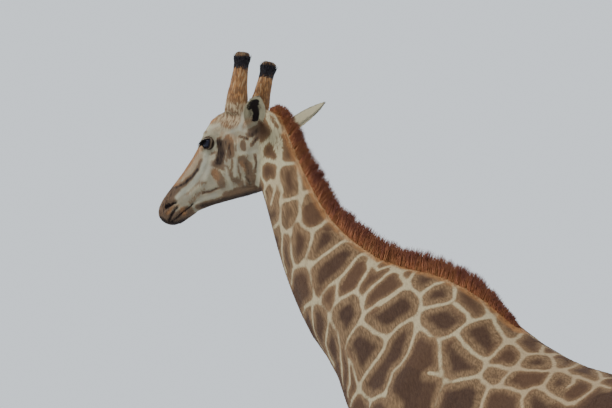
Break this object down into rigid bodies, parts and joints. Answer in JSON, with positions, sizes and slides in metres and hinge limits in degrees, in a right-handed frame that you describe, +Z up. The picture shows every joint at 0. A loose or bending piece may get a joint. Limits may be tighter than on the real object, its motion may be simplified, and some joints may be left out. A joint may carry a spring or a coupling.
{
  "type": "giraffe",
  "caption": "Life-size standing giraffe as a still model: patterned short coat, upright reddish mane, tufted horns, head turned a little to its left and lowered.",
  "frame": {"origin": "on the ground, at the middle of the model's bounding box", "axes": "+Z up; the animal faces -X and its left side faces -Y"},
  "size_m": [3.09, 0.7332, 3.9517],
  "materials": {
    "coat": "short flat coat: brown patches parted by cream lines",
    "horn": "skin-covered horns with short orange-brown coat, black tufts and bald grey tops",
    "mane": "stiff upright reddish-brown hair, darker at its tips",
    "tail_hair": "long black hair",
    "eye": "wet, very dark brown",
    "hoof": "dull dark grey-brown horn, a little ridged"
  },
  "bodies": {
    "root": {"head": "coat", "neck": "coat", "trunk": "coat", "leg_front_left": "coat", "leg_front_right": "coat", "leg_hind_left": "coat", "leg_hind_right": "coat", "tail": "coat", "ear_left": "coat", "ear_right": "coat", "ossicone_left": "horn", "ossicone_right": "horn", "mane": "mane", "tail_tuft": "tail_hair", "eye_left": "eye", "eye_right": "eye", "hoof_front_left_outer": "hoof", "hoof_front_left_inner": "hoof", "hoof_front_right_outer": "hoof", "hoof_front_right_inner": "hoof", "hoof_hind_left_outer": "hoof", "hoof_hind_left_inner": "hoof", "hoof_hind_right_outer": "hoof", "hoof_hind_right_inner": "hoof"}
  },
  "joints": []
}
